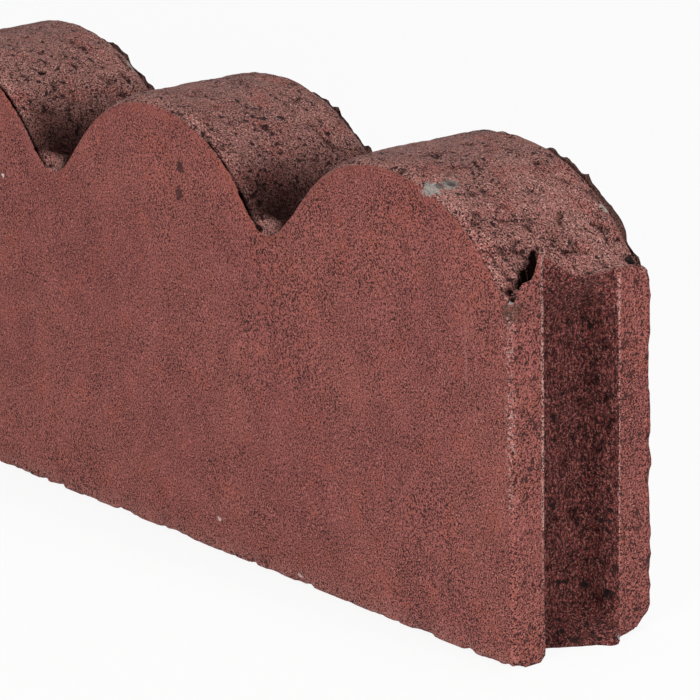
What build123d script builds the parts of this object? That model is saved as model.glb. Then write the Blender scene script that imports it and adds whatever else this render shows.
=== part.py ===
"""Rope-top garden edging stone: one upright slab of red concrete, in millimetres.

Along the top runs a row of equal half-round lobes with small hollows between them, as on a thick
rope seen from the side. Each lobe goes straight through the thickness. The right end has an upright
groove and the left end the tongue that fits it, so a row of stones locks together. Both stop below
the hollow that ends the top, so nothing of the joint shows from above.
X runs along the stone, Y through its thickness (the front faces -Y) and Z up. The origin is in the
middle of everything, on the level that the stone stands on.
"""
from build123d import *
from math import sqrt
import os

# The slab
lobe_count = 5
lobe_pitch = 120.0
stone_height = 150.0
stone_thickness = 57.0

# The rope top
lobe_radius = 67.5
hollow_radius = 6.5
top_arris_radius = 5.0

# The worn edges of the foot and of the ends
foot_arris_radius = 3.0
end_arris_radius = 1.0

# The groove in the right end
groove_width = 31.0
groove_depth = 15.0
groove_cover = 3.0
groove_draft = 0.5

# The tongue on the left end
tongue_side_clearance = 1.5
tongue_end_clearance = 2.0
tongue_top_clearance = 3.0
tongue_corner_radius = 2.5

# What follows from them
stone_length = lobe_count * lobe_pitch
half_pitch = lobe_pitch / 2
lobe_centre_z = stone_height - lobe_radius
centre_distance = lobe_radius + hollow_radius
hollow_centre_z = lobe_centre_z + sqrt(centre_distance**2 - half_pitch**2)
hollow_z = hollow_centre_z - hollow_radius
tongue_length = groove_depth - tongue_end_clearance
tongue_width = groove_width - 2 * tongue_side_clearance
groove_top_z = hollow_z - groove_cover
tongue_top_z = groove_top_z - tongue_top_clearance

# The tongue sticks out on the left, so the slab itself sits that much to the right of the middle
left_end_x = -(stone_length - tongue_length) / 2
right_end_x = left_end_x + stone_length


def towards_lobe(x_sign):
    """Where a hollow's arc meets a lobe's arc, measured along X from the middle of the hollow."""
    return x_sign * half_pitch * hollow_radius / centre_distance


def meeting_z():
    """Height of the point where a hollow's arc and a lobe's arc run into each other."""
    share = lobe_radius / centre_distance
    return lobe_centre_z + share * (hollow_centre_z - lobe_centre_z)


def rope_outline():
    """The front outline: a flat foot, two upright ends and a row of arcs that meet smoothly."""
    foot_left = (left_end_x, 0)
    foot_right = (right_end_x, 0)
    with BuildLine() as outline:
        Line(foot_left, foot_right)
        Line(foot_right, (right_end_x, hollow_z))
        for index in range(lobe_count):
            hollow_x = right_end_x - index * lobe_pitch
            next_hollow_x = hollow_x - lobe_pitch
            lobe_start = (hollow_x + towards_lobe(-1), meeting_z())
            lobe_top = (hollow_x - half_pitch, stone_height)
            lobe_end = (next_hollow_x + towards_lobe(1), meeting_z())
            hollow_centre = (hollow_x, hollow_centre_z)
            next_hollow_centre = (next_hollow_x, hollow_centre_z)
            hollow_arc((hollow_x, hollow_z), lobe_start, hollow_centre)
            ThreePointArc(lobe_start, lobe_top, lobe_end)
            hollow_arc(lobe_end, (next_hollow_x, hollow_z), next_hollow_centre)
        Line((left_end_x, hollow_z), foot_left)
    return outline.line


def hollow_arc(start, end, centre):
    """A quarter or less of the hollow's circle, from start to end round the given centre."""
    middle = Vector((start[0] + end[0]) / 2, (start[1] + end[1]) / 2)
    outwards = (middle - Vector(*centre)).normalized()
    ThreePointArc(start, Vector(*centre) + outwards * hollow_radius, end)


def slab():
    """The rope outline carried straight through the thickness."""
    with BuildPart() as body:
        with BuildSketch(Plane.XZ):
            with BuildLine():
                add(rope_outline())
            make_face()
        extrude(amount=stone_thickness / 2, both=True)
    return body.part


def worn_arrises(stone):
    """Rounds the long edges: wide along the rope top, narrow along the foot and up the ends."""
    half_thickness = stone_thickness / 2
    front_and_back = [
        edge
        for edge in stone.edges()
        if abs(abs(edge.center().Y) - half_thickness) < 0.01
    ]
    top_edges = [edge for edge in front_and_back if edge.center().Z > hollow_z - 0.01]
    stone = fillet(top_edges, top_arris_radius)
    foot_edges = stone.edges().filter_by(Axis.X).group_by(Axis.Z)[0]
    stone = fillet(foot_edges, foot_arris_radius)
    end_edges = [
        edge
        for edge in stone.edges().filter_by(Axis.Z)
        if abs(abs(edge.center().Y) - half_thickness) < 0.01
    ]
    return fillet(end_edges, end_arris_radius)


def groove():
    """The space of the groove: open at the end and at the foot, a little wider at its mouth."""
    mouth_half = groove_width / 2
    bed_half = mouth_half - groove_draft
    with BuildPart() as space:
        with BuildSketch(Plane.XY):
            Polygon(
                (right_end_x - groove_depth, -bed_half),
                (right_end_x, -mouth_half),
                (right_end_x, mouth_half),
                (right_end_x - groove_depth, bed_half),
                align=None,
            )
        extrude(amount=groove_top_z)
    return space.part


def tongue():
    """The tongue, tapered like the groove that it enters, with its outer upright edges rounded."""
    root_half = tongue_width / 2
    nose_half = root_half - groove_draft
    nose_x = left_end_x - tongue_length
    root_x = left_end_x + end_arris_radius
    with BuildPart() as rib:
        with BuildSketch(Plane.XY):
            Polygon(
                (root_x, -root_half),
                (root_x, root_half),
                (nose_x, nose_half),
                (nose_x, -nose_half),
                align=None,
            )
        extrude(amount=tongue_top_z)
        nose_edges = rib.edges().filter_by(Axis.Z).group_by(Axis.X)[0]
        fillet(nose_edges, tongue_corner_radius)
        nose_top = rib.edges().group_by(Axis.Z)[-1].filter_by(Axis.Y).sort_by(Axis.X)[0]
        chamfer(nose_top, end_arris_radius)
    return rib.part


edging_stone = worn_arrises(slab()) - groove() + tongue()

os.makedirs("parts", exist_ok=True)
export_step(edging_stone, "parts/edging_stone.step")
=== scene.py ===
"""Rope-top edging stone: one worn and pitted block of red concrete under soft studio light.

The block's skin is a single closed mesh worked out with numpy: a tube of cross-sections that follows
the stone from end to end, with a cap on each end. It is laid on the drawn shape first, then chipped at
its corners, then roughened along its normals. Thin flash from the mould stands along some of its rims.
Lengths are in metres, in the frame's own axes: X along the stone, Y away from the front, Z up.
"""
from itertools import product

import bpy
import numpy as np
from mathutils import Matrix, Vector


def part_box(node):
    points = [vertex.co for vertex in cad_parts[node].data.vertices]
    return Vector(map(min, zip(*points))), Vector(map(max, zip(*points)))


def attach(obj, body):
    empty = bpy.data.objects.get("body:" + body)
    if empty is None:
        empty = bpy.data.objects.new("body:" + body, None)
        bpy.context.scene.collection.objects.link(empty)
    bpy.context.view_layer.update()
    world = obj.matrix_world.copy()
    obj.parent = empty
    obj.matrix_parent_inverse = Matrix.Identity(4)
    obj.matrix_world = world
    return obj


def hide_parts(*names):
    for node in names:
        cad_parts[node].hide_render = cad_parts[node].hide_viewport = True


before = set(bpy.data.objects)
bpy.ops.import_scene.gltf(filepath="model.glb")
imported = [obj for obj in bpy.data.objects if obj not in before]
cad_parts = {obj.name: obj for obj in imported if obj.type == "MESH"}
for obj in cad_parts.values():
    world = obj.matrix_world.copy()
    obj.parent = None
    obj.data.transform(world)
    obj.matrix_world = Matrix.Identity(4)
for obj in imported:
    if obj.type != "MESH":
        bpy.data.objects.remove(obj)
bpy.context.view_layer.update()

MM = 0.001

# The drawn stone
STONE_LOW, STONE_HIGH = (np.array(corner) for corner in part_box("edging_stone"))
LOBE_COUNT = 5
LOBE_RADIUS = 67.5 * MM
HOLLOW_RADIUS = 6.5 * MM
STONE_HEIGHT = 150 * MM
TOP_ARRIS = 4.6 * MM
FOOT_ARRIS = 1.6 * MM
END_ARRIS = 2.2 * MM
BACK_END_ARRIS = 1.0 * MM
GROOVE_HALF_MOUTH = 15.5 * MM
GROOVE_HALF_BED = 15.0 * MM
GROOVE_DEPTH = 15.0 * MM
TONGUE_HALF_ROOT = 14.0 * MM
TONGUE_HALF_NOSE = 13.0 * MM
TONGUE_LENGTH = 13.0 * MM
TONGUE_TOP = 113.3 * MM

RIGHT_END = STONE_HIGH[0]
LEFT_END = STONE_LOW[0] + TONGUE_LENGTH
HALF_THICKNESS = STONE_HIGH[1]
LOBE_PITCH = (RIGHT_END - LEFT_END) / LOBE_COUNT
LOBE_CENTRE_Z = STONE_HEIGHT - LOBE_RADIUS
HOLLOW_CENTRE_Z = LOBE_CENTRE_Z + np.sqrt((LOBE_RADIUS + HOLLOW_RADIUS) ** 2 - (LOBE_PITCH / 2) ** 2)
FLANK_ANGLE = np.arcsin(LOBE_PITCH / 2 / (LOBE_RADIUS + HOLLOW_RADIUS))
HOLLOW_ARC = HOLLOW_RADIUS * FLANK_ANGLE
LOBE_ARC = LOBE_RADIUS * FLANK_ANGLE * 2
PITCH_ARC = LOBE_ARC + 2 * HOLLOW_ARC
LINE_LENGTH = LOBE_COUNT * PITCH_ARC

# How far from an end the sections start to turn into that end's own columns, and how far from it they
# have done so
END_BLEND = 34 * MM
END_STRAIGHT = 3 * MM
# How far from the right end the stations draw back to the lip's broken edge
LIP_SQUEEZE = 30 * MM
# The height in which an end turns from its foot's line to its own profile
FOOT_BLEND = 9 * MM
# Heights over which the middle of each end closes to the line above it, and how slowly it sets out
GROOVE_CLOSING = (98 * MM, 121 * MM)
TONGUE_CLOSING = (TONGUE_TOP - 2 * MM, TONGUE_TOP + 1 * MM)
CLOSING_POWER = 1.5

# Distance between two stations on the left, how much less it is on the right, what it is at an end, and
# how it grows from there
WIDE_STEP = 3.4 * MM
STEP_CUT = 2.05 * MM
END_STEP = 0.5 * MM
STEP_GROWTH = 0.13

# Cells round one cross-section: up the front, over the top, down the back and under the foot
FOOT_ARRIS_CELLS = 2
TOP_ARRIS_CELLS = 3
FLASH_CELLS = 3
FACE_CELLS = 54
TOP_CELLS = 50
FOOT_CELLS = 52
UPRIGHT_CELLS = FOOT_ARRIS_CELLS + FACE_CELLS + FLASH_CELLS + TOP_ARRIS_CELLS
ACROSS_CELLS = 2 * TOP_ARRIS_CELLS + TOP_CELLS

# How the end's columns are shared between its flanges, the groove's walls and its bed
FLANGE_COLUMNS = 12
WALL_COLUMNS = 9
BED_COLUMNS = ACROSS_CELLS - 2 * (FLANGE_COLUMNS + WALL_COLUMNS)
# Columns next to an end's front and back edges that still follow those edges
SIDE_FADE_COLUMNS = 5


def ease(value, low, high):
    """0 below low, 1 above high and a smooth rise between them: 3t^2 - 2t^3."""
    t = np.clip((value - low) / (high - low), 0, 1)
    return t * t * (3 - 2 * t)


def bump_at(value, middle, width):
    """A smooth bell, 1 at the middle and 0 beyond the width on either side."""
    return 1 - ease(np.abs(value - middle), 0, width)


# Random values and noise that come out the same each run
HASH_STEPS = (374761393, 668265263, 2147483647, 144665)
HASH_STIR = 1274126177
HASH_MASK = 0xFFFFFFFF


def lattice_value(cells, seed):
    """A fixed random number from 0 to 1 for each cell of a cubic lattice, from its stirred whole numbers."""
    stirred = seed * HASH_STEPS[3]
    for axis in range(3):
        stirred = stirred + cells[..., axis] * HASH_STEPS[axis]
    stirred = stirred & HASH_MASK
    stirred = ((stirred ^ (stirred >> 13)) * HASH_STIR) & HASH_MASK
    stirred = ((stirred ^ (stirred >> 15)) * HASH_STEPS[1]) & HASH_MASK
    return (stirred ^ (stirred >> 16)) / HASH_MASK


def smooth_noise(points, cell, seed):
    """Noise from -1 to 1: each point blends the random values at the eight corners of its cell."""
    scaled = points / np.asarray(cell)
    corner = np.floor(scaled).astype(np.int64)
    t = scaled - corner
    t = t * t * (3 - 2 * t)
    total = np.zeros(points.shape[:-1])
    for step in product((0, 1), repeat=3):
        step = np.array(step)
        share = np.prod(np.where(step == 1, t, 1 - t), axis=-1)
        total += share * lattice_value(corner + step, seed)
    return 2 * total - 1


def layered_noise(points, cell, seed, layers=3):
    """Sum of smooth noises, each with half the cell and half the height of the one before."""
    total = np.zeros(points.shape[:-1])
    for layer in range(layers):
        total += smooth_noise(points, np.asarray(cell) / 2**layer, seed + layer) / 2**layer
    return total / (2 - 0.5 ** (layers - 1))


def line_noise(along, cell, seed, layers=1):
    """Noise from -1 to 1 that changes only with the distance along the rope line."""
    return layered_noise(np.stack([along, along * 0, along * 0], axis=-1), cell, seed, layers)


def hollow_spots(points, cell, seed, share):
    """Round pits from 0 to 1 deep: in a share of the lattice's cells a pit of 1 - (distance/radius)^2, with
    a radius of 0.22 to 0.52 cells."""
    base = np.floor(points / cell).astype(np.int64)
    deepest = np.zeros(points.shape[:-1])
    for step in product((-1, 0, 1), repeat=3):
        cells = base + np.array(step)
        middle = np.stack([lattice_value(cells, seed + axis) for axis in range(3)], axis=-1)
        radius = cell * (0.22 + 0.30 * lattice_value(cells, seed + 3))
        distance = np.linalg.norm((cells + middle) * cell - points, axis=-1)
        depth = np.clip(1 - (distance / radius) ** 2, 0, 1)
        deepest = np.maximum(deepest, depth * (lattice_value(cells, seed + 4) < share))
    return deepest


# The rope outline
def rope_outline(along):
    """The rope's top line at a distance along it from the left end, by its arcs: half a hollow, a lobe and
    half a hollow in each pitch. Returns x, z and the outward normal's x and z."""
    along = np.clip(along, 0, LINE_LENGTH)
    index = np.minimum(np.floor(along / PITCH_ARC), LOBE_COUNT - 1)
    here = along - index * PITCH_ARC
    start_x = LEFT_END + index * LOBE_PITCH
    rising = here / HOLLOW_RADIUS
    falling = (PITCH_ARC - here) / HOLLOW_RADIUS
    lobe = (here - HOLLOW_ARC) / LOBE_RADIUS - FLANK_ANGLE
    parts = [here < HOLLOW_ARC, here > HOLLOW_ARC + LOBE_ARC]
    x = np.select(
        parts,
        [start_x + HOLLOW_RADIUS * np.sin(rising), start_x + LOBE_PITCH - HOLLOW_RADIUS * np.sin(falling)],
        start_x + LOBE_PITCH / 2 + LOBE_RADIUS * np.sin(lobe),
    )
    z = np.select(
        parts,
        [HOLLOW_CENTRE_Z - HOLLOW_RADIUS * np.cos(rising), HOLLOW_CENTRE_Z - HOLLOW_RADIUS * np.cos(falling)],
        LOBE_CENTRE_Z + LOBE_RADIUS * np.cos(lobe),
    )
    normal_x = np.select(parts, [-np.sin(rising), np.sin(falling)], np.sin(lobe))
    normal_z = np.select(parts, [np.cos(rising), np.cos(falling)], np.cos(lobe))
    return x, z, normal_x, normal_z


def station_distances():
    """Distances along the rope line of the cross-sections: close together on the right, where the camera
    is near, and at both ends, and wider apart elsewhere. They are even steps of the summed density."""
    fine = np.linspace(0, LINE_LENGTH, 4001)
    spacing = WIDE_STEP - STEP_CUT * ease(fine, 1.9 * PITCH_ARC, 2.6 * PITCH_ARC)
    to_end = np.minimum(fine, LINE_LENGTH - fine)
    spacing = np.minimum(spacing, END_STEP + STEP_GROWTH * to_end)
    density = np.concatenate([[0], np.cumsum(np.diff(fine) / spacing[1:])])
    count = int(density[-1])
    return np.interp(np.linspace(0, density[-1], count + 1), density, fine)


# The right end, with its groove
# Where the broken lip of the rope top ends above the groove: how far it is set back, and its Y
LIP_SETBACK = np.array([0, 6.1, 8.0, 8.6, 8.2, 6.1, 4.7, 2.7, 1.1, 1.0, 1.6, 2.3, 0]) * MM
LIP_Y = np.array([-15.5, -14.9, -11.2, -9.6, -7.4, -3.9, -1.7, 0.9, 5.2, 9.8, 13.4, 14.9, 15.5]) * MM


def even_steps(x, y, count):
    """Points at even distances along a broken line."""
    length = np.concatenate([[0], np.cumsum(np.hypot(np.diff(x), np.diff(y)))])
    steps = np.linspace(0, length[-1], count + 1)
    return np.interp(steps, length, x), np.interp(steps, length, y)


# Share of the way at which the columns next to the groove's edge stand, so that the edge is crisp
EDGE_SHARE = 0.04


def close_to_edge(steps, at_start):
    """Moves the step next to the first or last of them close to it, and spreads the others evenly."""
    crowded = np.concatenate([steps[:1], np.linspace(EDGE_SHARE, 1, len(steps) - 1)])
    return crowded if at_start else 1 - crowded[::-1]


# Radius of the rounded upright corners in the groove and on the tongue
CORNER_RADIUS = 3.0 * MM


def end_columns(flange_edge, flange_cells, mouth, bed, depth):
    """Depth and Y of an end's columns: flange, wall, bed, wall, flange. A tongue has negative depth."""
    flange_share = close_to_edge(np.linspace(0, 1, flange_cells + 1), False)
    flange = -flange_edge + (flange_edge - mouth) * flange_share
    wall = close_to_edge(np.linspace(0, 1, WALL_COLUMNS + 1), True)
    bed_y = np.linspace(-bed, bed, BED_COLUMNS + 1)
    left_y = np.concatenate([flange[:-1], -mouth + (mouth - bed) * wall[:-1]])
    y = np.concatenate([left_y, bed_y, -left_y[::-1]])
    to_corner = np.minimum(np.abs(depth), CORNER_RADIUS) * np.sign(depth)
    left_depth = np.concatenate([np.zeros(flange_cells), (depth - to_corner) * wall[:-1]])
    bed_depth = depth - worn_in(bed - np.abs(bed_y), CORNER_RADIUS) / CORNER_RADIUS * to_corner
    setback = np.concatenate([left_depth, bed_depth, left_depth[::-1]])
    return setback, y


def tongue_columns(flange_edge, flange_cells):
    """Depth and Y of the left end's columns, with its tongue."""
    return end_columns(flange_edge, flange_cells, TONGUE_HALF_ROOT, TONGUE_HALF_NOSE, -TONGUE_LENGTH)


def across_groove(line_setback, line_y, flange_edge, flange_cells):
    """Setback and Y of the columns along one edge of the right end: straight flanges on both sides of a
    broken line over the groove, which they follow in even steps."""
    flange = np.linspace(-flange_edge, -GROOVE_HALF_MOUTH, flange_cells + 1)
    setback, y = even_steps(line_setback, line_y, 2 * WALL_COLUMNS + BED_COLUMNS)
    no_setback = np.zeros(flange_cells)
    return (
        np.concatenate([no_setback, setback, no_setback]),
        np.concatenate([flange[:-1], y, -flange[:-1][::-1]]),
    )


# Where the foot of the groove ends: its concrete has slumped forward, most of all towards the back
SLUMP_SETBACK = np.array([0, 10.8, 11.2, 7.4, 2.4, -0.6, -3.9, -4.3, -2.6, 0]) * MM
SLUMP_Y = np.array([-15.5, -15.1, -13.0, -6.9, 0.8, 6.0, 8.8, 11.0, 13.0, 15.5]) * MM


def worn_in(distance, radius):
    """How far a rounded corner of that radius lies inside its flat, at a distance from the corner."""
    t = np.clip(1 - distance / radius, 0, 1)
    return radius * (1 - np.sqrt(1 - t * t))


def tube_sections(along):
    """The tube's points, stations by cells round the section. Each section is, in turn, a rounded foot
    arris, the front face, its rim with the flash, a worn top arris, the top, and the same back down and
    under the foot. The foot arris is a quarter round: its centre line plus its radius times (sine, cosine)
    of the angle. Behind the front rim the scoop lowers the top."""
    x, z, normal_x, normal_z = (part[:, None] for part in rope_outline(along))
    to_right = RIGHT_END - x
    to_left = x - LEFT_END
    inset = worn_in(to_right, END_ARRIS) + worn_in(to_left, END_ARRIS)
    back_inset = worn_in(to_right, BACK_END_ARRIS) + worn_in(to_left, BACK_END_ARRIS)
    face_y = HALF_THICKNESS - inset
    near_right = ease(x, RIGHT_END - END_BLEND, RIGHT_END - END_STRAIGHT)
    near_left = ease(-x, -LEFT_END - END_BLEND, -LEFT_END - END_STRAIGHT)

    foot_turn = np.linspace(0, np.pi / 2, 2 * FOOT_ARRIS_CELLS + 1)[None, :]
    wide = np.ones_like(foot_turn)
    rise = np.linspace(0, 1, FACE_CELLS + 1)[None, 1:]
    arris, scoop = (part[:, None] for part in front_rim(along))
    sides = []
    for chamfer, sunk, flash, worn in (
        (arris, scoop, front_flash(along), inset),
        (0 * arris + TOP_ARRIS, 0 * scoop, back_flash(along), back_inset),
    ):
        side_y = HALF_THICKNESS - worn
        foot_arris_y = -side_y + FOOT_ARRIS * (1 - np.sin(foot_turn))
        foot_arris_z = worn * np.cos(foot_turn) + FOOT_ARRIS * (1 - np.cos(foot_turn))
        rim_x = x - (chamfer + sunk) * normal_x
        rim_z = z - (chamfer + sunk) * normal_z - worn
        face_x = x + (rim_x - x) * ease(rise, 0.3, 1.0)
        depth, height = flashed_arris(chamfer, flash)
        height = height + sunk * ease(depth, 0, SCOOP_REACH)
        sides.append([
            (x * wide, foot_arris_y, foot_arris_z),
            (face_x, -side_y * np.ones_like(face_x), FOOT_ARRIS + rise * (rim_z - FOOT_ARRIS)),
            (rim_x + height * normal_x, -side_y + depth, rim_z + height * normal_z),
        ])

    flat_edge = HALF_THICKNESS - END_ARRIS - TOP_ARRIS
    even_y = np.linspace(-1, 1, TOP_CELLS + 1)[None, :] * (face_y - TOP_ARRIS)
    flange_cells = FLANGE_COLUMNS - TOP_ARRIS_CELLS
    lip_setback, lip_y = across_groove(LIP_SETBACK, LIP_Y, flat_edge, flange_cells)
    tongue_y = tongue_columns(flat_edge, flange_cells)[1]
    top_y = even_y * (1 - near_right - near_left) + lip_y * near_right + tongue_y * near_left
    # Towards the right end the stations draw back to the broken edge of the lip
    squeeze_from = LINE_LENGTH - LIP_SQUEEZE
    squeezed = np.clip((along[:, None] - squeeze_from) / LIP_SQUEEZE, 0, 1)
    top_along = along[:, None] - squeezed * arc_setback(lip_setback)[None, :]
    top_x, top_z, top_normal_x, top_normal_z = rope_outline(top_along)
    sunk = scoop * (1 - ease(top_y + HALF_THICKNESS, 0, SCOOP_REACH))
    top_x = top_x - sunk * top_normal_x
    top_z = top_z - sunk * top_normal_z - worn_in(RIGHT_END - top_x, BACK_END_ARRIS)
    top_z = top_z - worn_in(to_left, END_ARRIS)

    foot_edge = HALF_THICKNESS - END_ARRIS - FOOT_ARRIS
    even_foot = np.linspace(-1, 1, FOOT_CELLS + 1)[None, :] * (face_y - FOOT_ARRIS)
    flange_cells = FLANGE_COLUMNS - FOOT_ARRIS_CELLS
    foot_setback, foot_y = across_groove(SLUMP_SETBACK, SLUMP_Y, foot_edge, flange_cells)
    tongue_reach, tongue_foot_y = tongue_columns(foot_edge, flange_cells)
    under_y = even_foot * (1 - near_right - near_left) + foot_y * near_right + tongue_foot_y * near_left
    pull_right = ease_line(x, RIGHT_END - END_BLEND, RIGHT_END)
    pull_left = ease_line(-x, -LEFT_END - END_BLEND, -LEFT_END)
    under_x = x - foot_setback * pull_right + tongue_reach * pull_left
    under_z = np.zeros_like(under_x) + inset * (1 - pull_right - pull_left)

    front, back = sides
    back = [(px[:, ::-1], -py[:, ::-1], pz[:, ::-1]) for px, py, pz in reversed(back)]
    top = [(top_x[:, 1:-1], top_y[:, 1:-1], top_z[:, 1:-1])]
    under = [(under_x[:, -2:0:-1], under_y[:, -2:0:-1], under_z[:, -2:0:-1])]
    ring = front + top + back + under
    points = np.stack([np.concatenate([part[axis] for part in ring], axis=1) for axis in range(3)], axis=-1)
    # The ring starts in the middle of the front foot arris, so that it has the cap's four corners
    return np.roll(points, -FOOT_ARRIS_CELLS, axis=1)


# The worn top arris, halfway between a quarter round and a flat chamfer, and the mould's flash on its rim
ARRIS_ROUNDNESS = 0.5
FLASH_THICKNESS = 0.7 * MM
FLASH_FOOT = 0.16


def flashed_arris(chamfer, flash):
    """Depth behind the face and height above the rim of the rows from the flash to the top. The arris goes
    from the rim to the top, as high as the chamfer given for its station: its depth and height are the mean
    of a quarter circle's and a flat's. The first two rows rise to the flash's crest where there is flash,
    and the next ones sink a little behind it."""
    turn = np.concatenate([[0.05, 0.10], np.linspace(FLASH_FOOT, 1, 2 * TOP_ARRIS_CELLS + 1)])[None, :]
    angle = turn * np.pi / 2
    depth = TOP_ARRIS * (ARRIS_ROUNDNESS * (1 - np.cos(angle)) + (1 - ARRIS_ROUNDNESS) * turn)
    height = chamfer * (ARRIS_ROUNDNESS * np.sin(angle) + (1 - ARRIS_ROUNDNESS) * turn)
    there = ease(flash, 0.1 * MM, 0.8 * MM)
    crest_depth = np.array([0.05 * MM, FLASH_THICKNESS])
    crest_height = flash + np.array([[0, -0.15 * MM]])
    depth = np.repeat(depth, len(flash), axis=0)
    depth[:, :2] += there * (crest_depth - depth[:, :2])
    height[:, :2] += there * (crest_height - height[:, :2])
    depth[:, 2:3] += there * (FLASH_THICKNESS + 0.25 * MM - depth[:, 2:3])
    height[:, 2:5] -= there * np.array([[0.9, 0.7, 0.3]]) * MM
    return depth, height


def from_crown(along):
    """Angle round the lobe from its crown, positive on its falling side."""
    here = np.mod(along, PITCH_ARC)
    return (here - HOLLOW_ARC) / LOBE_RADIUS - FLANK_ANGLE


def from_hollow(x):
    """Distance along X from the bottom of the nearest hollow, positive on the lobe's side that rises."""
    return np.mod(x - LEFT_END + LOBE_PITCH / 2, LOBE_PITCH) - LOBE_PITCH / 2


# How far behind the front face the scooped side of a lobe reaches its full height
SCOOP_REACH = 13 * MM


# The front rim's drop below the rope line, in millimetres: at the crowns, how much more it is in the
# hollows and in the sag beside them, and what is left of it as a chamfer in front of a scoop
CROWN_DROP = 2.3
HOLLOW_DROP = 2.4
SAG_DROP = 1.7
SCOOPED_CHAMFER = 1.2


def front_rim(along):
    """How far the front rim lies below the rope line, as the height of its chamfer and the depth of a
    scoop behind it. The chamfer is low at the crowns and high in the hollows, but for the last one. On the
    rising side of each lobe the top has worn down behind the rim instead, which is the scoop."""
    x = rope_outline(along)[0]
    here = from_hollow(x)
    waver = 0.35 * line_noise(along, 11 * MM, 91)
    near = 1 - ease(np.where(here < 0, -here, 0.75 * here), 6 * MM, 42 * MM)
    at_end = ease(x, RIGHT_END - 48 * MM, RIGHT_END - 28 * MM)
    sag = SAG_DROP * bump_at(here, 12 * MM, 17 * MM) * (1 - at_end)
    drop = CROWN_DROP + waver + HOLLOW_DROP * near * (1 - 0.6 * at_end) + sag
    rising = ease(here, 1 * MM, 9 * MM) * (1 - ease(here, 34 * MM, 54 * MM))
    scoop = np.maximum(drop - SCOOPED_CHAMFER, 0) * rising
    return (drop - scoop) * MM, scoop * MM


def front_flash(along):
    """Height of the flash on the front rim: a thin smooth edge down the falling flank of each lobe."""
    turn = from_crown(along)
    spread = ease(turn, np.radians(20), np.radians(34)) * (1 - ease(turn, np.radians(56.5), np.radians(59.2)))
    height = (1.0 + 0.3 * line_noise(along, 9 * MM, 101)) * MM * spread
    return (height * away_from_ends(along))[:, None]


def back_flash(along):
    """Height of the ragged flash on the back rim: high past each crown, low before it, in broken chunks."""
    turn = from_crown(along)
    high = ease(turn, np.radians(-2), np.radians(16))
    chunk = line_noise(along, 3.4 * MM, 111, 2)
    broken = ease(line_noise(along, 13 * MM, 121), -0.8, -0.5)
    height = (0.4 + 2.7 * high + (0.4 + 1.3 * high) * chunk) * (0.6 + 0.4 * broken) * MM
    return (np.maximum(height, 0) * away_from_ends(along))[:, None]


def away_from_ends(along):
    """0 at both ends of the stone and 1 a little way in."""
    return ease(np.minimum(along, LINE_LENGTH - along), 1.5 * MM, 5 * MM)


def ease_line(value, low, high):
    """0 below low, 1 above high and a straight rise between them."""
    return np.clip((value - low) / (high - low), 0, 1)


def arc_setback(setback):
    """The distance along the rope line from the right end that goes with a setback along X."""
    along = np.linspace(LINE_LENGTH - 40 * MM, LINE_LENGTH, 401)
    x = rope_outline(along)[0]
    return LINE_LENGTH - np.interp(RIGHT_END - setback, x, along)


def ring_sides(ring):
    """An end cap's sides out of its ring: the front, top, back and foot, each upwards or towards the back."""
    front = ring[: UPRIGHT_CELLS + 1]
    top = ring[UPRIGHT_CELLS : UPRIGHT_CELLS + ACROSS_CELLS + 1]
    back = ring[UPRIGHT_CELLS + ACROSS_CELLS : 2 * UPRIGHT_CELLS + ACROSS_CELLS + 1][::-1]
    foot = np.concatenate([ring[2 * UPRIGHT_CELLS + ACROSS_CELLS :], ring[:1]])[::-1]
    return front, top, back, foot


def cap_points(ring, end_x, direction, columns, closing):
    """The inside of an end cap, columns by rows. Its four sides come from the ring. Between them each
    column goes from the foot's line to the end's own profile, keeps to it, and closes to the top line
    between the two heights of closing. direction is 1 where the end faces +X."""
    front, top, back, foot = ring_sides(ring)
    setback, column_y = columns
    rise = (front[:, 2] - front[0, 2]) / (front[-1, 2] - front[0, 2])
    height = foot[:, None, 2] + rise[None, :] * (top[:, None, 2] - foot[:, None, 2])
    from_foot = 1 - ease(height, 0, FOOT_BLEND)
    from_foot[:, 0] = 1
    to_top = ease(height, *closing) ** CLOSING_POWER
    to_top[:, -1] = 1
    middle = np.stack([end_x - direction * setback, column_y], axis=-1)[:, None, :]
    profile = 1 - from_foot - to_top
    plan = from_foot[..., None] * foot[:, None, :2] + profile[..., None] * middle
    plan = plan + to_top[..., None] * top[:, None, :2]
    column = np.arange(ACROSS_CELLS + 1)
    for side, corner in ((front, 0), (back, -1)):
        fade = np.clip(1 - np.abs(column - column[corner]) / SIDE_FADE_COLUMNS, 0, 1)[:, None, None]
        plain = plan[corner][None]
        plan = plan + fade * (side[None, :, :2] - plain)
    cap = np.concatenate([plan, height[..., None]], axis=-1)
    cap[:, 0] = foot
    cap[:, -1] = top
    cap[0] = front
    cap[-1] = back
    return cap


def grid_faces(index, flip):
    """Quads between neighbours of a grid of vertex numbers, turned over where flip is set."""
    quads = np.stack([index[:-1, :-1], index[1:, :-1], index[1:, 1:], index[:-1, 1:]], axis=-1).reshape(-1, 4)
    return quads[:, ::-1] if flip else quads


def cap_index(ring_index, first_new):
    """Vertex numbers of a cap's grid: the ring's own numbers on its four sides, new ones inside."""
    index = np.zeros((ACROSS_CELLS + 1, UPRIGHT_CELLS + 1), int)
    inside = (ACROSS_CELLS - 1) * (UPRIGHT_CELLS - 1)
    index[1:-1, 1:-1] = np.arange(first_new, first_new + inside).reshape(ACROSS_CELLS - 1, -1)
    index[0], index[:, -1], index[-1], index[:, 0] = ring_sides(ring_index)
    return index


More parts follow.
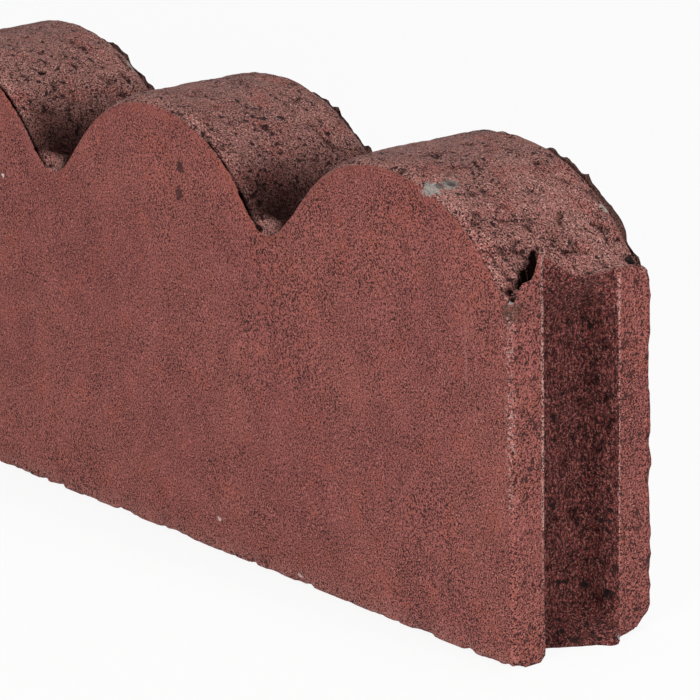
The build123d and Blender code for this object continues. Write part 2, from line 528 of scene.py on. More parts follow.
def vertex_normals(points, faces):
    """Unit normals at the vertices: the cross products of the faces' diagonals, summed where they meet."""
    cross = np.cross(points[faces[:, 2]] - points[faces[:, 0]], points[faces[:, 3]] - points[faces[:, 1]])
    normals = np.zeros_like(points)
    for corner in range(4):
        np.add.at(normals, faces[:, corner], cross)
    return normals / np.maximum(np.linalg.norm(normals, axis=1, keepdims=True), 1e-12)


# The wedge of flash that stands on the end beside the groove: its height by Y, and how thick it is
WEDGE_Y = np.array([-26.0, -24.6, -23.6, -22.1, -19.8, -18.8, -17.7, -17.4, -17.0, -14.9, -14.5]) * MM
WEDGE_Z = np.array([117.5, 120.5, 121.8, 122.1, 122.6, 123.5, 125.7, 127.4, 129.6, 129.4, 118.0]) * MM
WEDGE_THICKNESS = 0.9 * MM
# The crevice behind it, up to the rope top's broken edge
CREVICE_Y = np.array([-22.0, -21.3, -20.6, -19.0, -16.5, -14.0, -12.4, -10.8, -9.4]) * MM
CREVICE_SETBACK = np.array([1.8, 3.8, 5.3, 5.8, 6.3, 7.1, 8.5, 9.6, 9.2]) * MM
CREVICE_FLOOR = 108 * MM
# Between which Y it sets in and fades out, and the Y from which it is a shallow step, of what depth
CREVICE_START = (-22 * MM, -20.6 * MM)
CREVICE_STOP = (-10 * MM, -8 * MM)
SHALLOW_FROM = -14.8 * MM
SHALLOW_DEPTH = 3.5 * MM

# A pit is a stroke of next to no length, in millimetres
PIT_LENGTH = 0.01
# Small pits at the end of the rope top: X, Y, radius and depth in millimetres
END_PITS = (
    (303.2, 24.0, 2.6, 6.0),
    (303.2, 13.2, 1.9, 2.2),
    (305.2, -20.4, 1.3, 2.2),
    (302.6, -25.2, 1.9, 1.2),
    (304.6, -26.0, 1.6, 1.4),
)

# Cracks in the rope top: X and Y of their two ends, width and depth in millimetres
CRACKS = (
    (288.5, 8.2, 290.6, 5.4, 0.9, 1.6),
    (290.6, 5.4, 292.0, 5.2, 0.7, 1.2),
    (294.0, 19.0, 298.5, 18.0, 0.8, 1.5),
    (296.8, 6.2, 298.4, 4.4, 0.9, 1.6),
    (298.3, 4.2, 298.0, 0.2, 0.8, 1.3),
    (268.3, 16.4, 269.2, 14.6, 1.2, 1.6),
    (271.6, 14.0, 273.2, 15.0, 0.9, 1.2),
    (278.2, 17.5, 279.8, 18.8, 1.0, 1.4),
    (279.6, 3.4, 281.0, 4.6, 1.0, 1.3),
    (262.0, -4.0, 266.5, -5.0, 1.0, 1.1),
    (250.0, -9.0, 254.0, -12.5, 1.1, 1.2),
)


def stroke(points, x0, y0, x1, y1, width):
    """1 along a straight stroke seen from above and 0 beyond its width: a bell of the distance to it."""
    start, end = np.array([x0, y0]), np.array([x1, y1])
    across = points[:, :2] / MM - start
    share = np.clip(across @ (end - start) / np.sum((end - start) ** 2), 0, 1)
    distance = np.linalg.norm(across - share[:, None] * (end - start), axis=1)
    return 1 - ease(distance, width * 0.3, width)


def wedge_and_crevice(points):
    """How much the end's wedge of flash raises the rope top, how much the crevice behind it lowers it, and
    how much painted shade the crevice gets."""
    x, y, z = points.T
    to_end = RIGHT_END - x
    wedge_z = np.interp(y, WEDGE_Y, WEDGE_Z)
    wedge = 1 - ease(to_end, WEDGE_THICKNESS * 0.7, WEDGE_THICKNESS * 1.2)
    inside = (y > WEDGE_Y[0]) & (y < WEDGE_Y[-1])
    rise = wedge * np.maximum(wedge_z - z, 0) * inside
    setback = np.interp(y, CREVICE_Y, CREVICE_SETBACK)
    crevice = ease(to_end, WEDGE_THICKNESS * 1.1, WEDGE_THICKNESS * 1.5)
    crevice *= 1 - ease(to_end - setback, -0.3 * MM, 0.3 * MM)
    crevice *= ease(y, *CREVICE_START) * (1 - ease(y, *CREVICE_STOP))
    deep_floor = CREVICE_FLOOR + 7 * MM * (1 - ease(y, -21.5 * MM, -18 * MM))
    floor = np.where(y < SHALLOW_FROM, deep_floor, z - SHALLOW_DEPTH)
    dark = 1 - ease(to_end - setback, 0.6 * MM, 1.4 * MM)
    dark *= ease(to_end, WEDGE_THICKNESS * 0.9, WEDGE_THICKNESS * 1.3)
    dark *= ease(y, CREVICE_START[0], -21 * MM) * (1 - ease(y, *CREVICE_STOP))
    return rise, crevice * np.maximum(z - floor, 0), dark


def end_relief(points):
    """Moves the rope top at the right end by its wedge, crevice, pits and cracks. Returns the new points and
    how much painted shade each one gets in pits, cracks and the crevice, from 0 to 1."""
    rise, fall, recess_shade = wedge_and_crevice(points)
    # Pits and cracks are sunk and get painted shade in them
    for x, y, radius, depth in END_PITS:
        pit = stroke(points, x, y, x + PIT_LENGTH, y, radius)
        fall = fall + pit * depth * MM
        recess_shade = np.maximum(recess_shade, ease(pit, 0.2, 0.8))
    for x0, y0, x1, y1, width, depth in CRACKS:
        crack = stroke(points, x0, y0, x1, y1, width)
        fall = fall + crack * depth * MM
        recess_shade = np.maximum(recess_shade, crack * 0.9)
    points = points.copy()
    points[:, 2] += rise - fall
    return points, recess_shade


# Corners broken off flat: a point of the break, its outward direction, its roughness and its reach
BREAKS = (
    ((306.5, 24.0, 3.4), (0.35, 0.66, -0.66), 0.7, 15),
    ((306.5, 18.0, 0.6), (0.2, 0.25, -0.95), 0.2, 5),
    ((306.5, -16.2, 1.4), (0.25, 0.72, -0.65), 0.2, 5),
    ((306.5, -27.2, 0.9), (0.5, -0.6, -0.62), 0.5, 13),
    ((306.5, 27.2, 119.0), (0.25, 0.75, 0.61), 0.5, 14),
    ((306.5, -27.0, 118.0), (0.3, -0.75, 0.58), 0.5, 14),
    ((-293.5, -27.0, 1.0), (-0.5, -0.6, -0.62), 0.6, 15),
    ((-293.5, 26.5, 1.6), (-0.5, 0.6, -0.62), 0.7, 15),
)


def break_corners(points):
    """Moves what lies beyond each break's rough plane back onto it."""
    for place, direction, roughness, reach in BREAKS:
        place = np.array(place) * MM
        direction = np.array(direction) / np.linalg.norm(direction)
        rough = layered_noise(points, 3 * MM, 71) * roughness * MM
        near = 1 - ease(np.linalg.norm(points - place, axis=1), 0.6 * reach * MM, reach * MM)
        beyond = np.maximum((points - place) @ direction + rough, 0) * near
        points = points - beyond[:, None] * direction
    return points


# Stations from the right end over which the rope top's own cracks and pits are placed
END_STATIONS = 90


def stone_skin():
    """Vertices, quads and masks of the whole block."""
    along = station_distances()
    tube = tube_sections(along)
    masks = tube_masks(along, tube)
    stations, around = tube.shape[:2]
    index = np.arange(stations * around).reshape(stations, around)
    closed = np.concatenate([index, index[:, :1]], axis=1)
    faces = [grid_faces(closed, False)]

    rim_cells = TOP_ARRIS_CELLS + FLASH_CELLS
    top_columns = np.arange(UPRIGHT_CELLS - rim_cells + 1, UPRIGHT_CELLS + ACROSS_CELLS + rim_cells)
    band = tube[-END_STATIONS:, top_columns].reshape(-1, 3)
    band, recess_shade = end_relief(band)
    tube[-END_STATIONS:, top_columns] = band.reshape(END_STATIONS, -1, 3)
    masks[-END_STATIONS:, top_columns, RECESS_SHADE] = recess_shade.reshape(END_STATIONS, -1)

    points = [tube.reshape(-1, 3)]
    all_masks = [masks.reshape(-1, len(MASKS))]
    count = stations * around
    flange_edge = HALF_THICKNESS - END_ARRIS
    groove = end_columns(flange_edge, FLANGE_COLUMNS, GROOVE_HALF_MOUTH, GROOVE_HALF_BED, GROOVE_DEPTH)
    tongue = tongue_columns(flange_edge, FLANGE_COLUMNS)
    right = cap_points(tube[-1], RIGHT_END, 1, groove, GROOVE_CLOSING)
    left = cap_points(tube[0], LEFT_END, -1, tongue, TONGUE_CLOSING)
    for cap, ring_index, has_groove in ((right, index[-1], True), (left, index[0], False)):
        numbers = cap_index(ring_index, count)
        faces.append(grid_faces(numbers, not has_groove))
        points.append(cap[1:-1, 1:-1].reshape(-1, 3))
        all_masks.append(cap_masks(has_groove))
        count += (ACROSS_CELLS - 1) * (UPRIGHT_CELLS - 1)
    return np.concatenate(points), np.concatenate(faces), np.concatenate(all_masks)


# The masks that the relief and the material share, in the order of their columns
MASKS = ("rope_top", "groove_inside", "worn_arris", "dark_flash", "recess_shade", "painted_hollow_shade", "under_rim")
ROPE, GROOVE, ARRIS, FLASH, RECESS_SHADE, HOLLOW_SHADE, UNDER_RIM = range(len(MASKS))


def painted_hollow_shade(points):
    """Painted shade in the hollows: from the bottom up both sides, further up near the front but not on the
    chamfer of the front rim."""
    x, y = points[..., 0], points[..., 1]
    here = from_hollow(x)
    further = 1 - ease(y, -20 * MM, 8 * MM)
    falling = 1 - ease(-here, 3 * MM, 22 * MM + 4 * MM * further)
    rising = 1 - ease(here, 8 * MM, 30 * MM)
    chamfer = bump_at(here, 0, 10 * MM)
    behind_rim = ease(y + HALF_THICKNESS, -1.5 * MM + 4 * MM * chamfer, 1 * MM + 5.5 * MM * chamfer)
    hollow_shade = np.where(here < 0, falling, rising) * behind_rim
    from_ends = np.minimum(RIGHT_END - 30 * MM - x, x - LEFT_END)
    return hollow_shade * (0.85 + 0.15 * further) * ease(from_ends, 0, 10 * MM)


def tube_masks(along, tube):
    """For each of the tube's points: how much it belongs to the rope top, an arris, the back's flash, painted
    shade in cavities, painted shade in a hollow or the face's band under the rim."""
    cell = np.arange(2 * (UPRIGHT_CELLS + ACROSS_CELLS))
    middle = UPRIGHT_CELLS + ACROSS_CELLS / 2
    from_middle = np.abs(cell - middle)
    arris_edge = ACROSS_CELLS / 2 + TOP_ARRIS_CELLS
    masks = np.zeros((len(along), len(cell), len(MASKS)))
    masks[..., ROPE] = from_middle < arris_edge + 1.5
    at_back = cell > middle
    masks[..., ARRIS] = at_back * bump_at(from_middle, arris_edge - TOP_ARRIS_CELLS + 1, 4.0)
    masks[..., ARRIS] += bump_at(from_middle, middle, 5.0)
    worn = ease(line_noise(along, 9 * MM, 131, 2), -0.1, 0.5) * bump_at(from_crown(along), -0.25, 0.75)
    masks[..., ARRIS] += (~at_back) * bump_at(from_middle, arris_edge + 0.5, 1.6) * 1.8 * worn[:, None]
    under = (from_middle > arris_edge + 1.5) * (1 - ease(from_middle, arris_edge + 2.5, arris_edge + 5))
    masks[..., UNDER_RIM] = under * (1 - 0.7 * ease(tube[..., 0], RIGHT_END - 32 * MM, RIGHT_END - 16 * MM))
    # Painted shade in the hollows of the rope top
    masks[..., HOLLOW_SHADE] = painted_hollow_shade(tube) * masks[..., ROPE]
    masks[..., ROPE] *= ease(RIGHT_END - tube[..., 0], 0.3 * MM, 1.2 * MM)
    crest = (from_middle > arris_edge + 0.5) & (from_middle < arris_edge + 2.5) & at_back
    masks[..., FLASH] = crest * ease(back_flash(along), 0.6 * MM, 1.6 * MM)
    # A line of painted shadow behind the front flash, and painted shade in a crease near the back of the top
    behind = (from_middle > arris_edge - 1.5) & (from_middle < arris_edge + 0.5) & (cell < middle)
    masks[..., RECESS_SHADE] = behind * ease(front_flash(along), 0.2 * MM, 0.9 * MM)
    crease = at_back * bump_at(from_middle, ACROSS_CELLS / 2 - TOP_ARRIS_CELLS - 1, 1.3)
    creased = ease(line_noise(along, 6 * MM, 141, 2), -0.25, 0.2) * ease(from_crown(along), 0.2, 0.5)
    masks[..., RECESS_SHADE] += crease * creased[:, None] * 0.7
    return masks


def cap_masks(has_groove):
    """For each inner point of a cap: the groove's inside, and the light edges of its mouth, which fade
    towards the foot."""
    column = np.arange(1, ACROSS_CELLS)[:, None] * np.ones((1, UPRIGHT_CELLS - 1))
    from_middle = np.abs(column - ACROSS_CELLS / 2)
    mouth = ACROSS_CELLS / 2 - FLANGE_COLUMNS
    masks = np.zeros(column.shape + (len(MASKS),))
    if has_groove:
        masks[..., GROOVE] = from_middle < mouth - 0.5
        at_mouth = (np.abs(from_middle - mouth) < 0.5) | (np.abs(column - FLANGE_COLUMNS + 0.5) < 1)
        row = np.arange(1, UPRIGHT_CELLS)
        masks[..., ARRIS] = 2.6 * at_mouth * (0.2 + 0.8 * ease(row, 8, 26))
    return masks.reshape(-1, len(MASKS))


def roughened(points, faces, masks):
    """The skin with its relief: broad waves and lumps everywhere, open pits and cracks on the rope top,
    upright drag marks in the groove, crumbled arrises, chips along the foot and a ragged back edge of the
    grooved end. Each is noise times its mask, in millimetres along the normal. The mask of painted shade in
    cavities takes up the pits and cracks."""
    normals = vertex_normals(points, faces)
    rope, groove, arris, recess_shade = (masks[:, column] for column in (ROPE, GROOVE, ARRIS, RECESS_SHADE))
    face = (1 - rope) * (1 - groove)
    waves = layered_noise(points, 38 * MM, 11) * 0.30
    lumps = layered_noise(points, 9 * MM, 21)
    fine = layered_noise(points, 3.2 * MM, 31, 2)
    pits = hollow_spots(points, 5.0 * MM, 41, 0.30)
    large_pits = hollow_spots(points, 11 * MM, 45, 0.25) * ease(fine, -0.4, 0.3)
    crack_line = 1 - np.abs(layered_noise(points, (11 * MM, 7 * MM, 11 * MM), 51, 2)) * 11
    crack = np.clip(crack_line, 0, 1) * ease(layered_noise(points, 16 * MM, 55), 0.05, 0.35)
    drag = layered_noise(points, (2.2 * MM, 2.2 * MM, 26 * MM), 61, 2)
    chips = np.clip(layered_noise(points, (5 * MM, 4 * MM, 4 * MM), 81, 2) - 0.05, 0, 1)
    low = 1 - ease(points[:, 2], 0, 4.5 * MM)
    at_end = ease(points[:, 0], RIGHT_END - 4 * MM, RIGHT_END - 1 * MM)
    back_edge = ease(points[:, 1], 25.5 * MM, 27.5 * MM) * at_end
    open_top = rope * (1 - 0.75 * arris)
    height = waves + face * (0.06 * lumps + 0.07 * fine)
    height += open_top * (0.42 * lumps + 0.42 * fine - 0.9 * pits - 0.9 * crack - 0.6 * large_pits)
    height += rope * arris * (0.10 * fine + 0.15 * lumps)
    height += groove * (0.35 * lumps + 0.40 * fine + 0.40 * drag - 1.1 * pits - 0.8 * large_pits)
    height -= (1 - rope) * arris * chips * 0.5
    height -= low * (1 - groove) * chips * 1.4
    height += back_edge * (0.35 + 0.7 * layered_noise(points, 3.6 * MM, 151, 2))
    # Painted shade in the open pits and cracks of the rope top and the groove
    hollowed = (open_top + groove) * np.maximum(pits, crack)
    masks[:, RECESS_SHADE] = np.maximum(recess_shade, ease(hollowed, 0.25, 0.9) * 0.75)
    moved = points + normals * (height * MM)[:, None]
    moved[:, 2] = np.maximum(moved[:, 2], 0)
    return moved


def put_in_scene(name, data):
    """A new object of the scene that holds the data."""
    made = bpy.data.objects.new(name, data)
    bpy.context.scene.collection.objects.link(made)
    return made


def mesh_object(name, points, faces, attributes=()):
    """A smooth-shaded mesh object at the origin, with named values at its points."""
    mesh = bpy.data.meshes.new(name)
    mesh.vertices.add(len(points))
    mesh.vertices.foreach_set("co", points.astype(np.float32).ravel())
    mesh.loops.add(faces.size)
    mesh.loops.foreach_set("vertex_index", faces.astype(np.int32).ravel())
    mesh.polygons.add(len(faces))
    mesh.polygons.foreach_set("loop_start", np.arange(0, faces.size, faces.shape[1], dtype=np.int32))
    mesh.polygons.foreach_set("use_smooth", np.ones(len(faces), bool))
    mesh.update(calc_edges=True)
    for label, values in attributes:
        layer = mesh.attributes.new(label, "FLOAT", "POINT")
        layer.data.foreach_set("value", values.astype(np.float32))
    return put_in_scene(name, mesh)


# Materials
def add_node(tree, kind, inputs=None, **settings):
    """A new node with its properties set, and its inputs linked to sockets or set to values."""
    made = tree.nodes.new(kind)
    for name, value in settings.items():
        setattr(made, name, value)
    for socket, value in (inputs or {}).items():
        if isinstance(value, bpy.types.NodeSocket):
            tree.links.new(value, made.inputs[socket])
        else:
            made.inputs[socket].default_value = value
    return made


# The functions from here to noise work in the node tree of the first socket that they are given
def calculate(operation, first, second=0.0, third=0.0):
    """The result of a Math node."""
    inputs = {0: first, 1: second, 2: third}
    return add_node(first.id_data, "ShaderNodeMath", inputs, operation=operation).outputs[0]


def times(first, second):
    """The product of two values."""
    return calculate("MULTIPLY", first, second)


def times_plus(first, second, third):
    """The product of two values, with a third added."""
    return calculate("MULTIPLY_ADD", first, second, third)


def larger(first, second):
    """The larger of two values."""
    return calculate("MAXIMUM", first, second)


def vector_result(operation, *values):
    """The outputs of a Vector Math node."""
    inputs = dict(enumerate(values))
    return add_node(values[0].id_data, "ShaderNodeVectorMath", inputs, operation=operation).outputs


def mixed(factor, first, second):
    """The result of a colour Mix node."""
    inputs = {0: factor, 6: first, 7: second}
    return add_node(factor.id_data, "ShaderNodeMix", inputs, data_type="RGBA").outputs[2]


def laid_on(colour, cover, strength, tone):
    """The colour with a tone laid on it where its cover is, as strongly as given."""
    return mixed(times(cover, strength), colour, srgb(*tone))


def ranged(value, low, high, to_low=0.0, to_high=1.0):
    """A value's smooth step from one range to another."""
    inputs = {"Value": value, "From Min": low, "From Max": high, "To Min": to_low, "To Max": to_high}
    return add_node(value.id_data, "ShaderNodeMapRange", inputs, interpolation_type="SMOOTHSTEP").outputs[0]


def noise(vector, per_metre, detail=2.0, roughness=0.5):
    """The value of a Noise Texture with so many waves to the metre."""
    inputs = {"Vector": vector, "Scale": per_metre, "Detail": detail, "Roughness": roughness}
    return add_node(vector.id_data, "ShaderNodeTexNoise", inputs).outputs[0]


def new_group(name, inputs, output):
    """A shader node group with named inputs and one value as its output, and the sockets inside it."""
    tree = bpy.data.node_groups.new(name, "ShaderNodeTree")
    for label, kind in inputs:
        tree.interface.new_socket(name=label, in_out="INPUT", socket_type="NodeSocket" + kind)
    tree.interface.new_socket(name=output, in_out="OUTPUT", socket_type="NodeSocketFloat")
    return tree, tree.nodes.new("NodeGroupInput").outputs, tree.nodes.new("NodeGroupOutput").inputs[0]


def place_group(group, inputs):
    """Puts a node group into the node tree that its Vector comes from, and returns its output."""
    return add_node(inputs["Vector"].id_data, "ShaderNodeGroup", inputs, node_tree=group).outputs[0]


# The inputs of the pores' group, and their values for the fine, medium and coarse pores
PORE_INPUTS = ("Waves per metre", "Limit", "Edge", "Patchiness")
PORES = ((1900.0, 0.485, 0.055, 0.10), (950.0, 0.40, 0.05, 0.15), (380.0, 0.37, 0.06, 0.25))


def open_pores():
    """Small irregular pores where a fine noise dips below a limit, fewer or more of them in patches."""
    inputs = [("Vector", "Vector")] + [(label, "Float") for label in PORE_INPUTS]
    tree, given, result = new_group("Open pores", inputs, "Pore")
    grain = noise(given["Vector"], given["Waves per metre"], 1.5, 0.6)
    patches = noise(given["Vector"], 75.0)
    shift = times(calculate("SUBTRACT", patches, 0.5), given["Patchiness"])
    limit = calculate("ADD", given["Limit"], shift)
    inputs = {"Value": calculate("SUBTRACT", limit, grain), "From Min": 0.0, "From Max": given["Edge"]}
    tree.links.new(add_node(tree, "ShaderNodeMapRange", inputs).outputs[0], result)
    return tree


def srgb(red, green, blue):
    """A colour given as it looks on screen, 0 to 255, in the linear values that nodes take."""
    shown = np.array([red, green, blue]) / 255
    linear = np.where(shown <= 0.04045, shown / 12.92, ((shown + 0.055) / 1.055) ** 2.4)
    return (*linear, 1.0)


# Local marks: middle, half size (both X, Y and Z in millimetres), colour, and how strong it is. The
# near-black ones at the grooved end are painted shade, in a pit at the end of the rope top and low on the
# groove's back wall and in its back corner.
MARKS = (
    ((269.0, -27.2, 145.0), (3.2, 3.2, 2.8), (144, 144, 138), 0.75),
    ((270.2, -20.8, 145.7), (2.6, 3.6, 2.8), (142, 143, 137), 0.75),
    ((269.8, -24.4, 145.9), (1.5, 1.5, 1.6), (58, 44, 42), 0.7),
    # Painted shade in a pit at the end of the rope top
    ((302.8, 24.6, 119.0), (3.2, 2.2, 3.6), (12, 6, 5), 0.97),
    # Painted shade low on the groove's back wall and in its back corner
    ((301.4, 15.2, 13.4), (2.2, 2.0, 2.4), (14, 6, 5), 0.9),
    ((291.8, 14.4, 14.4), (2.6, 2.6, 2.4), (26, 11, 10), 0.85),
    ((305.0, 15.2, 22.6), (1.6, 2.0, 1.6), (22, 10, 9), 0.85),
    ((308.8, 12.6, 1.2), (1.2, 1.6, 1.2), (188, 176, 168), 0.6),
    ((305.6, -28.5, 116.6), (1.0, 2.0, 1.3), (205, 190, 184), 0.9),
    ((290.1, 25.2, 133.5), (1.6, 2.2, 2.2), (168, 162, 150), 0.8),
    ((41.8, 26.0, 140.0), (3.0, 2.4, 2.6), (160, 154, 142), 0.7),
    ((285.6, -28.5, 96.0), (0.7, 2.0, 12.0), (160, 110, 102), 0.3),
    ((305.0, -26.5, 113.5), (3.0, 4.0, 4.5), (70, 50, 42), 0.6),
    ((141.6, -28.5, 120.4), (2.6, 2.0, 2.8), (46, 21, 19), 0.8),
    ((142.4, -28.5, 129.6), (2.0, 2.0, 2.0), (46, 21, 19), 0.85),
    ((258.0, -28.5, 124.0), (2.2, 2.0, 3.0), (84, 40, 36), 0.5),
    ((158.0, -28.5, 11.5), (1.0, 2.0, 1.0), (200, 186, 180), 0.8),
    ((200.5, -28.5, 3.0), (1.2, 2.0, 1.0), (196, 182, 176), 0.7),
    ((38.0, -28.5, 108.1), (0.9, 2.0, 0.9), (205, 190, 184), 0.9),
)


def ragged_spot():
    """A spot with a ragged edge, 1 inside an ellipsoid round its middle and 0 outside, broken by noise."""
    inputs = [(label, "Vector") for label in ("Vector", "Middle", "Half size")]
    tree, given, result = new_group("Ragged spot", inputs, "Spot")
    offset = vector_result("SUBTRACT", given["Vector"], given["Middle"])[0]
    scaled = vector_result("DIVIDE", offset, given["Half size"])[0]
    distance = vector_result("LENGTH", scaled)["Value"]
    waver = noise(given["Vector"], 700.0, 3.0, 0.7)
    ragged = times_plus(waver, -3.4, calculate("ADD", distance, 1.7))
    tree.links.new(ranged(ragged, 0.75, 1.0, 1.0, 0.0), result)
    return tree


def marked(place, colour, spot):
    """The colour with the local marks laid on it."""
    for middle, half_size, tone, strength in MARKS:
        inputs = {"Vector": place, "Middle": np.array(middle) * MM, "Half size": np.array(half_size) * MM}
        colour = laid_on(colour, place_group(spot, inputs), strength, tone)
    return colour


# The pale specks of the worn front corner: how wide their band is, and its foot and head
SPECK_BAND = 2.4 * MM
SPECK_FOOT = 48 * MM
SPECK_HEAD = 116 * MM


def corner_specks(x, y, z, place):
    """Where pale specks show down the front corner of the grooved end: a fine noise in a narrow upright
    band, which is wider and denser in patches."""
    from_corner = calculate("ABSOLUTE", calculate("SUBTRACT", x, RIGHT_END - 1.4 * MM))
    narrowed = calculate("ADD", from_corner, 3.7 * MM)
    from_band = times_plus(noise(place, 60.0), -7.0 * MM, narrowed)
    band = ranged(from_band, 0.0, SPECK_BAND, 1.0, 0.0)
    in_front = ranged(y, 1 * MM - HALF_THICKNESS, 2.5 * MM - HALF_THICKNESS, 1.0, 0.0)
    above = ranged(z, SPECK_FOOT, SPECK_FOOT + 5 * MM)
    below = ranged(z, SPECK_HEAD - 4 * MM, SPECK_HEAD, 1.0, 0.0)
    window = times(times(above, below), in_front)
    specks = ranged(noise(place, 1100.0, 3.0, 0.7), 0.51, 0.61)
    return times(specks, times(band, window))


def red_concrete(pores, spot):
    """Pigmented concrete: mottled reds on the moulded faces, browner and rougher on the rope top, dark and
    open in the groove, where the darkness is partly painted shade, pale on worn edges, with painted shade in
    the hollows and in cavities, and fine dark pores all over."""
    material = bpy.data.materials.new("Red concrete")
    material.use_nodes = True
    tree = material.node_tree
    shader = tree.nodes["Principled BSDF"]
    place = add_node(tree, "ShaderNodeTexCoord").outputs["Object"]
    rope, groove, arris, flash, recess_shade, hollow_shade, under_rim = (
        add_node(tree, "ShaderNodeAttribute", attribute_name=label).outputs["Fac"] for label in MASKS
    )
    upright, dragged = (
        add_node(tree, "ShaderNodeMapping", {"Vector": place, "Scale": (1.0, 1.0, scale)}).outputs[0]
        for scale in (0.10, 0.55)
    )
    x, y, z = add_node(tree, "ShaderNodeSeparateXYZ", {0: place}).outputs
    at_end = ranged(x, RIGHT_END - 3 * MM, RIGHT_END - 0.5 * MM)
    rough_share = larger(larger(rope, groove), times(at_end, 0.8))

    # Mottled tones of the faces, the rope top and the groove
    broad = ranged(noise(place, 28.0, 3.0), 0.35, 0.65)
    face = mixed(broad, srgb(131, 71, 67), srgb(138, 77, 70))
    warm_spots = ranged(noise(place, 120.0, 3.0), 0.50, 0.70)
    rim_patches = ranged(noise(place, 45.0), 0.40, 0.60, 0.15, 0.6)
    warm = larger(times(warm_spots, 0.45), times(under_rim, rim_patches))
    face = mixed(warm, face, srgb(147, 76, 61))
    brownish = ranged(noise(place, 60.0, 3.0), 0.55, 0.75)
    face = laid_on(face, brownish, 0.4, (114, 67, 61))
    rope_tone = mixed(broad, srgb(147, 99, 91), srgb(139, 89, 82))
    rope_warm = ranged(noise(place, 90.0, 3.0), 0.50, 0.68)
    rope_tone = laid_on(rope_tone, rope_warm, 0.6, (148, 80, 72))
    colour = mixed(rope, face, rope_tone)
    # The groove's darker tone stands partly for its rough, open concrete and partly is painted shade deep in
    # the groove
    dragged_grain = ranged(noise(dragged, 1500.0, 3.0, 0.7), 0.50, 0.66)
    groove_tone = mixed(dragged_grain, srgb(118, 54, 50), srgb(158, 104, 97))
    colour = mixed(groove, colour, groove_tone)

    # Light grains and worn edges
    grain = noise(place, 1500.0, 2.0, 0.7)
    light_grain = ranged(grain, 0.52, 0.68)
    light_share = times_plus(rough_share, 0.10, 0.70)
    light_tone = mixed(rope, srgb(180, 118, 109), srgb(200, 160, 152))
    colour = mixed(times(light_grain, light_share), colour, light_tone)
    worn = times(arris, ranged(noise(place, 420.0), 0.30, 0.60))
    colour = laid_on(colour, worn, 0.45, (178, 134, 126))

    # Dark pores, then painted shade in the hollows, flash, specks, marks and painted shade in cavities
    fine, medium, coarse = (
        place_group(pores, {"Vector": place, **dict(zip(PORE_INPUTS, values))}) for values in PORES
    )
    fine_share = times_plus(rough_share, 0.05, 0.88)
    fewer = times_plus(under_rim, -0.5, 1.0)
    dark = times(times(fine, fine_share), fewer)
    dark = larger(dark, times(medium, 0.95))
    near_foot = ranged(z, 1.5 * MM, 9 * MM, 1.0, 0.0)
    foot_patches = ranged(noise(place, 55.0), 0.45, 0.60)
    open_share = larger(rough_share, times(near_foot, foot_patches))
    dark = larger(dark, times(coarse, open_share))
    # The groove's dark gaps are partly open texture and partly painted shade
    gaps = ranged(noise(dragged, 1200.0, 4.0, 0.7), 0.42, 0.54, 0.95, 0.0)
    dark = larger(dark, times(gaps, groove))
    colour = mixed(dark, colour, mixed(groove, srgb(34, 11, 10), srgb(30, 8, 7)))
    # Near-black painted shade in the hollows
    colour = laid_on(colour, hollow_shade, 0.92, (28, 16, 15))
    colour = laid_on(colour, flash, 0.8, (58, 37, 32))
    colour = laid_on(colour, corner_specks(x, y, z, place), 0.55, (200, 174, 166))
    colour = marked(place, colour, spot)
    # Near-black painted shade in pits, cracks, the crevice and creases
    colour = mixed(recess_shade, colour, srgb(14, 7, 6))
    tree.links.new(colour, shader.inputs["Base Color"])

    # The fine relief
    height = times(calculate("SUBTRACT", grain, 0.5), 0.5)
    height = times_plus(fine, -0.2, height)
    height = times_plus(medium, -0.35, height)
    height = times_plus(times(coarse, rough_share), -0.6, height)
    lumps = noise(place, 420.0, 3.0, 0.6)
    height = calculate("ADD", height, times(lumps, times(rough_share, 1.6)))
    streak = ranged(noise(upright, 220.0), 0.25, 0.75, -0.5, 0.5)
    height = times_plus(streak, 0.06, height)
    bump = add_node(tree, "ShaderNodeBump", {"Height": height, "Distance": 1.0 * MM, "Strength": 0.9})
    tree.links.new(bump.outputs[0], shader.inputs["Normal"])
    tree.links.new(ranged(grain, 0.3, 0.7, 0.84, 0.96), shader.inputs["Roughness"])
    # The specular level drops where shade is painted, in cavities and hollows
    dull = larger(recess_shade, hollow_shade)
    tree.links.new(times_plus(dull, -0.25, 0.25), shader.inputs["Specular IOR Level"])
    return material


# Light, floor and camera
# The lights: name, place, the point that it faces, size and watts
LIGHTS = (
    ("front light", (0.95, -2.0, 0.55), (0.15, 0, 0.07), 0.9, 41),
    ("end light", (2.3, 0.1, 0.72), (0.15, 0, 0.07), 0.9, 30),
    ("top light", (0.3, 0.2, 2.2), (0.15, 0, 0.07), 0.8, 19),
    ("back light", (-1.1, 2.1, 0.3), (0, 0, 0.07), 0.4, 14),
)
AMBIENT = 0.11
FLOOR_HALF = 12.0


def soft_light(name, place, target, size, watts):
    """A square area light that faces the target."""
    lamp = bpy.data.lights.new(name, "AREA")
    lamp.shape = "SQUARE"
    lamp.size = size
    lamp.energy = watts
    holder = put_in_scene(name, lamp)
    holder.location = place
    holder.rotation_euler = (Vector(target) - Vector(place)).to_track_quat("-Z", "Y").to_euler()


def white_when_seen(tree):
    """1 for rays from the camera and for reflected and refracted ones, which see the background white."""
    path = add_node(tree, "ShaderNodeLightPath")
    seen = larger(path.outputs["Is Camera Ray"], path.outputs["Is Glossy Ray"])
    return larger(seen, path.outputs["Is Transmission Ray"])


def studio_world():
    """An even surround that lights the stone and shows white behind it."""
    world = bpy.data.worlds.new("Studio surround")
    bpy.context.scene.world = world
    world.use_nodes = True
    tree = world.node_tree
    background = tree.nodes["Background"]
    background.inputs["Color"].default_value = (1, 1, 1, 1)
    inputs = {"Value": white_when_seen(tree), "To Min": AMBIENT, "To Max": 1.0}
    strength = add_node(tree, "ShaderNodeMapRange", inputs).outputs[0]
    tree.links.new(strength, background.inputs["Strength"])


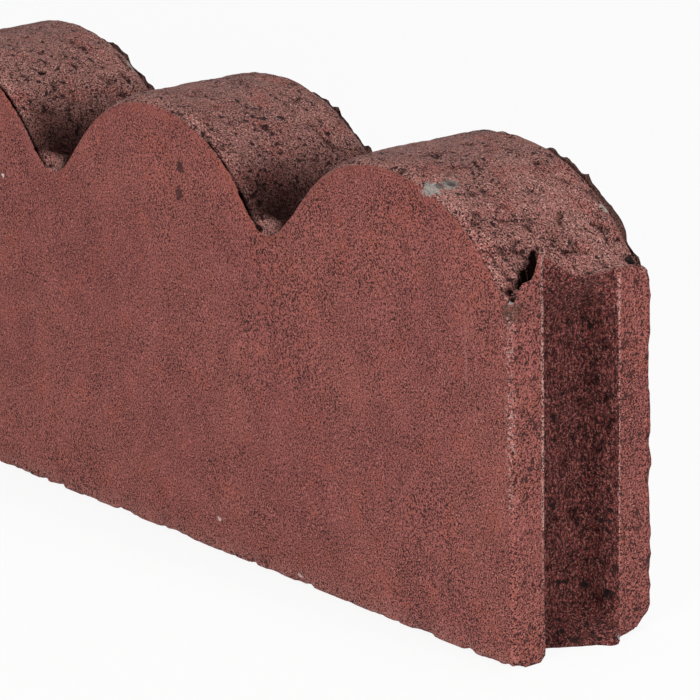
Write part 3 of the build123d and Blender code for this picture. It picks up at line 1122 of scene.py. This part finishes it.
def pale_floor():
    """A wide white floor. It keeps the stone's shadow, softened by a white of its own towards the camera."""
    corners = np.array([(-1, -1, 0), (1, -1, 0), (1, 1, 0), (-1, 1, 0)]) * FLOOR_HALF
    floor = mesh_object("studio_floor", corners, np.array([[0, 1, 2, 3]]))
    material = bpy.data.materials.new("Studio floor white")
    material.use_nodes = True
    tree = material.node_tree
    shader = tree.nodes["Principled BSDF"]
    shader.inputs["Base Color"].default_value = (0.86, 0.86, 0.86, 1)
    shader.inputs["Roughness"].default_value = 0.9
    glow = add_node(tree, "ShaderNodeEmission", {"Color": (1, 1, 1, 1), "Strength": 1.0})
    factor = times(white_when_seen(tree), 0.9)
    mix = add_node(tree, "ShaderNodeMixShader", {0: factor, 1: shader.outputs[0], 2: glow.outputs[0]})
    tree.links.new(mix.outputs[0], tree.nodes["Material Output"].inputs["Surface"])
    floor.data.materials.append(material)


# The camera: its place, its angles in degrees, its focal length and film width in millimetres, and how
# many metres it sees
CAMERA_PLACE = np.array([1172.4, -782.6, 439.9]) * MM
CAMERA_YAW = 51.347
CAMERA_PITCH = 16.346
CAMERA_ROLL = 1.171
CAMERA_LENS = 205.83
FILM_WIDTH = 36
FAR_LIMIT = 50


def studio_camera():
    """A long lens near the grooved end, looking along the front and down on the rope top. Yaw turns the
    view from +Y towards -X, pitch lowers it and roll turns it about its own axis."""
    yaw, pitch, roll = np.radians([CAMERA_YAW, CAMERA_PITCH, CAMERA_ROLL])
    forward = np.array([-np.sin(yaw) * np.cos(pitch), np.cos(yaw) * np.cos(pitch), -np.sin(pitch)])
    level = np.array([np.cos(yaw), np.sin(yaw), 0])
    down = np.cross(forward, level)
    right = np.cos(roll) * level + np.sin(roll) * down
    up = np.sin(roll) * level - np.cos(roll) * down
    lens = bpy.data.cameras.new("Camera")
    lens.sensor_width = FILM_WIDTH
    lens.lens = CAMERA_LENS
    lens.clip_end = FAR_LIMIT
    camera = put_in_scene("Camera", lens)
    turn = Matrix(np.stack([right, up, -forward], axis=1).tolist()).to_4x4()
    camera.matrix_world = Matrix.Translation(CAMERA_PLACE.tolist()) @ turn
    bpy.context.scene.camera = camera


def make_stone():
    """The block itself, in place of the plain one of the frame."""
    points, faces, masks = stone_skin()
    points = break_corners(points)
    points = roughened(points, faces, masks)
    stone = mesh_object("rope_top_stone", points, faces, zip(MASKS, masks.T))
    stone.data.materials.append(red_concrete(open_pores(), ragged_spot()))
    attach(stone, "root")
    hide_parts("edging_stone")


make_stone()
pale_floor()
studio_world()
for light in LIGHTS:
    soft_light(*light)
studio_camera()
bpy.context.scene.view_settings.view_transform = "Standard"
